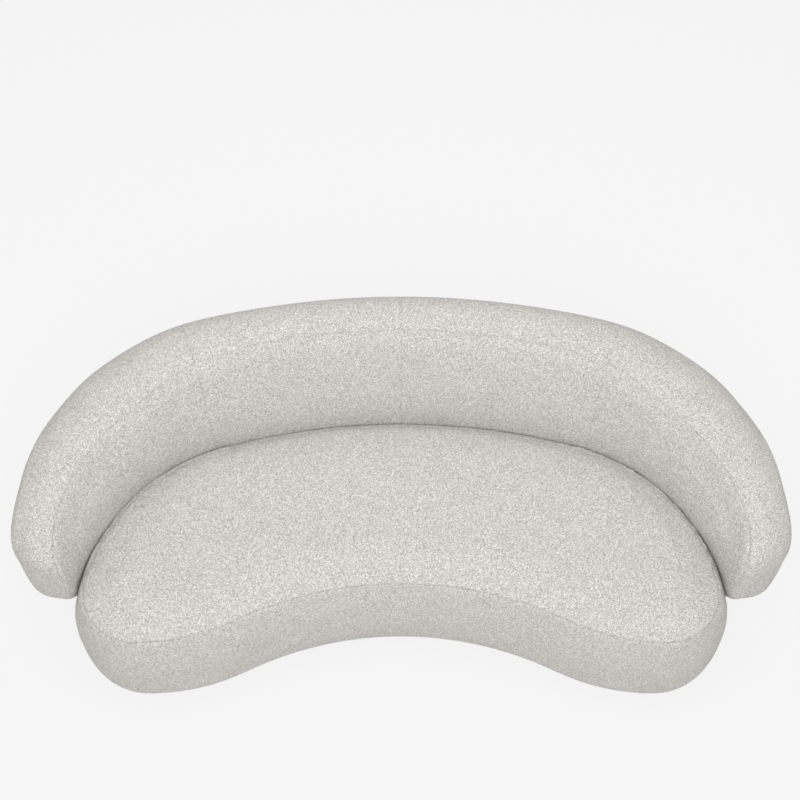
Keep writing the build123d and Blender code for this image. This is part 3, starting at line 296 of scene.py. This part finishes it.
def upholster(name, covers, closing, neighbours, easing_steps, fullness, cap, seam_press):
    """One stuffed piece: the covers remeshed, filled out, blown up, and creased at the seams."""
    bpy.ops.object.select_all(action="DESELECT")
    for node in (*covers, *closing):
        part = bpy.data.objects.new(node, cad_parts[node].data.copy())
        bpy.context.scene.collection.objects.link(part)
        part.select_set(True)
        bpy.context.view_layer.objects.active = part
    bpy.ops.object.join()
    piece = bpy.context.object
    piece.name = name
    piece.data.materials.clear()
    bpy.ops.object.mode_set(mode="EDIT")
    bpy.ops.mesh.select_all(action="SELECT")
    bpy.ops.mesh.remove_doubles(threshold=1e-5)
    bpy.ops.object.mode_set(mode="OBJECT")
    piece.data.remesh_voxel_size = cloth_grid
    bpy.ops.object.voxel_remesh()
    easing = piece.modifiers.new("ease_steps", "SMOOTH")
    easing.factor = 0.5
    easing.iterations = easing_steps
    bpy.ops.object.modifier_apply(modifier=easing.name)
    start = vertex_array(piece.data, "co")
    start += fullness(start, vertex_array(piece.data, "normal"))
    piece.data.vertices.foreach_set("co", start.ravel())
    piece.data.update()

    # The stapled underside and the hidden contact with the neighbour hold the cloth.
    beside = [panel_tree(node) for node in neighbours]
    pins = piece.vertex_groups.new(name="held_down")
    for i, point in enumerate(start):
        hidden = point[2] < hidden_height and lies_near(point, beside, contact_gap)
        if hidden or point[2] < stapled_height:
            pins.add([i], 1.0, "REPLACE")
    blown = piece.modifiers.new("stuffing", "CLOTH")
    blown.settings.vertex_group_mass = pins.name
    blown.settings.use_pressure = True
    blown.settings.uniform_pressure_force = 4.0
    blown.settings.effector_weights.gravity = 0.0
    blown.settings.quality = 4
    blown.settings.tension_stiffness = 25
    blown.settings.compression_stiffness = 25
    blown.settings.bending_stiffness = 2.0
    blown.point_cache.frame_start = 1
    blown.point_cache.frame_end = settling_steps
    for step in range(1, settling_steps + 1):
        bpy.context.scene.frame_set(step)
    settled = piece.evaluated_get(bpy.context.evaluated_depsgraph_get())
    moved = vertex_array(settled.data, "co") - start
    piece.modifiers.remove(blown)
    bpy.context.scene.frame_set(1)
    normals = vertex_array(piece.data, "normal")
    swelling = np.clip((moved * normals).sum(axis=1, keepdims=True), 0, cap)
    piece.data.vertices.foreach_set("co", (start + normals * swelling).ravel())
    piece.data.update()

    # The cloth is divided once all over and finely along the seams, to take a narrow crease there.
    rims = seam_rims(covers)
    away = seam_distances(vertex_array(piece.data, "co"), vertex_array(piece.data, "normal"), rims)
    marks = piece.data.attributes.new("seam_depth", "FLOAT", "POINT")
    marks.data.foreach_set("value", away.astype(np.float32))
    finer = piece.modifiers.new("finer", "SUBSURF")
    finer.levels = 1
    finer.render_levels = 1
    bpy.ops.object.modifier_apply(modifier=finer.name)
    away = np.empty(len(piece.data.vertices), np.float32)
    piece.data.attributes["seam_depth"].data.foreach_get("value", away)
    close = away < seam_margin
    bpy.ops.object.mode_set(mode="EDIT")
    bpy.ops.mesh.select_mode(type="FACE")
    bpy.ops.mesh.select_all(action="DESELECT")
    bpy.ops.object.mode_set(mode="OBJECT")
    for polygon in piece.data.polygons:
        polygon.select = bool(close[list(polygon.vertices)].any())
    bpy.ops.object.mode_set(mode="EDIT")
    bpy.ops.mesh.subdivide(number_cuts=3, smoothness=0.0)
    bpy.ops.object.mode_set(mode="OBJECT")
    places, normals = vertex_array(piece.data, "co"), vertex_array(piece.data, "normal")
    picked = np.empty(len(places), bool)
    piece.data.vertices.foreach_get("select", picked)
    crease = np.zeros(len(places), np.float32)
    away = seam_distances(places[picked], normals[picked], rims)
    crease[picked] = seam_press * np.exp(-((away / crease_width) ** 2))
    pressed = places - normals * (crease_depth * crease)[:, None]
    piece.data.vertices.foreach_set("co", pressed.ravel())
    # The crease values also tell the boucle material where to paint shade along the seams.
    piece.data.attributes["seam_depth"].data.foreach_set("value", crease)
    piece.data.update()
    bpy.ops.object.shade_smooth()
    piece.data.materials.append(boucle)
    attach(piece, "sofa")
    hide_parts(*covers)
    return piece


back_covers = [
    f"back_cover_{face}_{place}_{side}"
    for face in ("inner", "outer")
    for place in ("middle", "end")
    for side in sides
]
seat_covers = ["seat_cover_top", "seat_cover_band"]


def back_filling(places, normals):
    """The wadding stands out where the arm ends turn in, and behind the seat's rear edge."""
    tip_fill, tip_length = 0.012, 0.16
    edge_fill, seat_middle = 0.012, -0.25
    zero = np.zeros(len(places))
    inward = np.stack([-0.85 * np.sign(places[:, 0]), zero - 0.5, zero], axis=1)
    tip = places[:, 1].min()
    at_tip = rise(-places[:, 1], -tip - tip_length, -tip) * rise(places[:, 2], 0.03, 0.12)
    amount = tip_fill * at_tip * np.clip((normals * inward).sum(axis=1), 0, 1)
    to_seat = -np.stack([places[:, 0], places[:, 1] - seat_middle, zero], axis=1)
    to_seat /= np.linalg.norm(to_seat, axis=1, keepdims=True)
    at_edge = rise(places[:, 2], 0.27, 0.38) - rise(places[:, 2], 0.42, 0.60)
    facing = rise((normals * to_seat).sum(axis=1), 0.2, 0.8)
    amount += edge_fill * at_edge * (1 - at_tip) * facing
    return normals * amount[:, None].astype(np.float32)


back = upholster(
    "back_upholstery",
    back_covers,
    closing=["back_bottom_rail"],
    neighbours=seat_covers,
    easing_steps=16,
    fullness=back_filling,
    cap=0.006,
    seam_press=0.5,
)
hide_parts("back_wadding_inner", "back_wadding_outer", "back_foam_inner", "back_foam_outer")
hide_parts("back_foam_nose_left", "back_foam_nose_right")

# Seat upholstery
# A foam kidney wrapped in wadding and sewn into the same boucle: one crowned top panel and one band
# round the side, joined along the edge, pressed into the back and stapled under the frame.


def seat_edge(places, normals):
    """The wadding fills the band out sideways, more against the back than along the open front."""
    at_sides = 0.012 * rise(normals[:, 1], -0.8, -0.1)
    at_back = 0.008 * rise(normals[:, 1], 0.1, 0.8)
    amount = (0.001 + at_sides + at_back) * rise(places[:, 2], 0.05, 0.16)
    return normals * (amount[:, None] * (1, 1, 0)).astype(np.float32)


def press_against(piece, other, edge_height=0.43, gap=0.0004, reach=0.05):
    """Pushes the piece's cloth back wherever it would run into the other piece."""
    mesh = other.data
    skin = BVHTree.FromPolygons([v.co for v in mesh.vertices], [p.vertices for p in mesh.polygons])
    places = vertex_array(piece.data, "co")
    for i in np.flatnonzero(places[:, 2] < edge_height):
        near, normal, _, _ = skin.find_nearest(places[i], reach)
        if near is not None and normal.dot(near) > normal.dot(places[i]) - gap:
            places[i] = near + gap * normal
    piece.data.vertices.foreach_set("co", places.ravel())
    piece.data.update()


seat = upholster(
    "seat_upholstery",
    seat_covers,
    closing=["seat_bottom_panel"],
    neighbours=back_covers,
    easing_steps=3,
    fullness=seat_edge,
    cap=0.005,
    seam_press=0.85,
)
press_against(seat, back)
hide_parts("seat_wadding", "seat_foam_topper", "seat_foam_core", "seat_foam_border")

# Joining hardware
# Four flat plates of zinc-plated steel lie under the base, across from the seat to the back. Their
# screws run up into tee nuts in the two frames and tie them together.
zinc, tree, plate = new_material("zinc_plated_steel")
plate.inputs["Metallic"].default_value = 1.0
place = add_node(tree, "TexCoord").outputs["Object"]
spangle = add_node(tree, "TexVoronoi", Vector=place, Scale=210.0)
zinc_tone = add_node(tree, "ValToRGB", spangle.outputs["Color"])
zinc_tone.color_ramp.elements[0].color = (0.50, 0.51, 0.52, 1)
zinc_tone.color_ramp.elements[1].color = (0.66, 0.67, 0.68, 1)
dusted = add_node(tree, "Group", node_tree=dust, Color=zinc_tone.outputs["Color"], Amount=0.2)
tree.links.new(dusted.outputs["Color"], plate.inputs["Base Color"])
brushing = add_node(tree, "Mapping", Vector=place, Scale=(60.0, 1500.0, 1500.0))
scratches = add_node(tree, "TexNoise", Vector=brushing.outputs[0], Scale=1.0, Detail=3.0)
dulled = add_node(tree, "MapRange", scratches.outputs["Fac"], To_Min=0.25, To_Max=0.5)
tree.links.new(dulled.outputs["Result"], plate.inputs["Roughness"])
relief = add_node(tree, "Bump", Strength=0.15, Distance=0.0001, Height=scratches.outputs["Fac"])
tree.links.new(relief.outputs["Normal"], plate.inputs["Normal"])
finish_nodes(zinc, "joining_plates", "joining_screws", "joining_tee_nuts")

# Dust cloths
# Thin black cambric in a plain weave, one piece under the seat and one under the back. It is
# stapled to the frames and closes them from below.
cambric, tree, lining = new_material("black_cambric")
threads = add_node(tree, "Group", node_tree=weave, Threads_per_metre=1100.0)
thread_tone = add_node(tree, "Mix", data_type="RGBA", Factor=threads.outputs["Height"],
                       A=(0.012, 0.012, 0.013, 1), B=(0.045, 0.045, 0.048, 1))
dusted = add_node(tree, "Group", node_tree=dust, Color=thread_tone.outputs["Result"], Amount=0.12)
tree.links.new(dusted.outputs["Color"], lining.inputs["Base Color"])
lining.inputs["Roughness"].default_value = 0.9
relief = add_node(tree, "Bump", Strength=0.5, Distance=0.0003, Height=threads.outputs["Height"])
tree.links.new(relief.outputs["Normal"], lining.inputs["Normal"])
finish_nodes(cambric, "seat_dust_cover", "back_dust_cover")

# Levelling feet
# Six dark grey nylon glides, each moulded on a zinc-plated steel stud. The stud screws into a tee
# nut in the frame and is turned in or out until the sofa stands level.
nylon, tree, pad = new_material("moulded_nylon")
place = add_node(tree, "TexCoord").outputs["Object"]
spark = add_node(tree, "TexNoise", Vector=place, Scale=1800.0, Detail=2.0)
scuffing = add_node(tree, "TexNoise", Vector=place, Scale=95.0, Detail=4.0)
nylon_tone = add_node(tree, "ValToRGB", scuffing.outputs["Fac"])
nylon_tone.color_ramp.elements[0].position = 0.4
nylon_tone.color_ramp.elements[0].color = (0.035, 0.035, 0.037, 1)
nylon_tone.color_ramp.elements[1].position = 0.75
nylon_tone.color_ramp.elements[1].color = (0.075, 0.074, 0.073, 1)
dusted = add_node(tree, "Group", node_tree=dust, Color=nylon_tone.outputs["Color"], Amount=0.25)
tree.links.new(dusted.outputs["Color"], pad.inputs["Base Color"])
dulled = add_node(tree, "MapRange", scuffing.outputs["Fac"], To_Min=0.38, To_Max=0.62)
tree.links.new(dulled.outputs["Result"], pad.inputs["Roughness"])
relief = add_node(tree, "Bump", Strength=0.2, Distance=0.0002, Height=spark.outputs["Fac"])
tree.links.new(relief.outputs["Normal"], pad.inputs["Normal"])
foot_places = [f"{end}_{side}" for end in ("front", "rear") for side in (*sides, "centre")]
finish_nodes(nylon, *(f"foot_pad_{place}" for place in foot_places))
finish_nodes(zinc, "foot_tee_nuts", *(f"foot_stud_{place}" for place in foot_places))

# Studio
# A pale seamless paper lies under the sofa, and an even surround lights it from all sides. One
# broad softbox hangs overhead, and one stands high in front.
bpy.context.scene.view_settings.view_transform = "Standard"


def seen_rays(tree):
    """1 for rays that show a surface to the eye, straight, in metal or through glass."""
    path = add_node(tree, "LightPath")
    seen = path.outputs["Is Camera Ray"]
    for ray in ("Is Glossy Ray", "Is Transmission Ray"):
        seen = add_node(tree, "Math", seen, path.outputs[ray], operation="MAXIMUM").outputs[0]
    return seen


bpy.ops.mesh.primitive_plane_add(size=24)
floor = bpy.context.object
floor.name = "studio_floor"
paper, tree, matt = new_material("studio_paper")
matt.inputs["Base Color"].default_value = (0.72, 0.72, 0.72, 1)
matt.inputs["Roughness"].default_value = 1.0
# Most of what is seen of the paper is an even glow, and the rest still takes the sofa's shadow.
glow_share = 0.9
glow = add_node(tree, "Emission", Color=(0.93, 0.93, 0.93, 1), Strength=1.0)
lit = add_node(tree, "Math", seen_rays(tree), glow_share, operation="MULTIPLY")
mixed = add_node(tree, "MixShader", lit.outputs[0], matt.outputs[0], glow.outputs[0])
# The paper has no underside, so that the sofa can be looked at from below.
below = add_node(tree, "NewGeometry").outputs["Backfacing"]
clear = add_node(tree, "BsdfTransparent")
one_sided = add_node(tree, "MixShader", below, mixed.outputs[0], clear.outputs[0])
tree.links.new(one_sided.outputs[0], tree.nodes["Material Output"].inputs["Surface"])
floor.data.materials.append(paper)

surround = bpy.data.worlds.new("studio_surround")
bpy.context.scene.world = surround
surround.use_nodes = True
tree = surround.node_tree
ambient = tree.nodes["Background"]
ambient.inputs["Color"].default_value = (1.0, 0.995, 0.985, 1)
ambient.inputs["Strength"].default_value = 0.70
backdrop = add_node(tree, "Background", Color=(0.922, 0.922, 0.922, 1))
mixed = add_node(tree, "MixShader", seen_rays(tree), ambient.outputs[0], backdrop.outputs[0])
tree.links.new(mixed.outputs[0], tree.nodes["World Output"].inputs["Surface"])

for name, place, tilt, width, depth, power in (
    ("softbox_over", (0.0, 0.2, 3.6), 0.0, 3.4, 3.4, 48),
    ("softbox_front", (0.0, -3.84, 4.62), 39.7, 5.0, 2.6, 158),
):
    bpy.ops.object.light_add(type="AREA", location=place, rotation=(math.radians(tilt), 0, 0))
    softbox = bpy.context.object
    softbox.name = name
    softbox.data.shape = "RECTANGLE"
    softbox.data.size = width
    softbox.data.size_y = depth
    softbox.data.energy = power

# Camera
# A long lens on a high stand looks down at the sofa from in front, square on to its middle. It
# stands where the outline and seams fall as they do in the photograph.
bpy.ops.object.camera_add(location=(0, -2.29694, 4.41454), rotation=(math.radians(33.199), 0, 0))
camera = bpy.context.object
camera.name = "photo_camera"
camera.data.lens = 65.04
camera.data.sensor_width = 36
camera.data.shift_x = -0.0015
bpy.context.scene.camera = camera
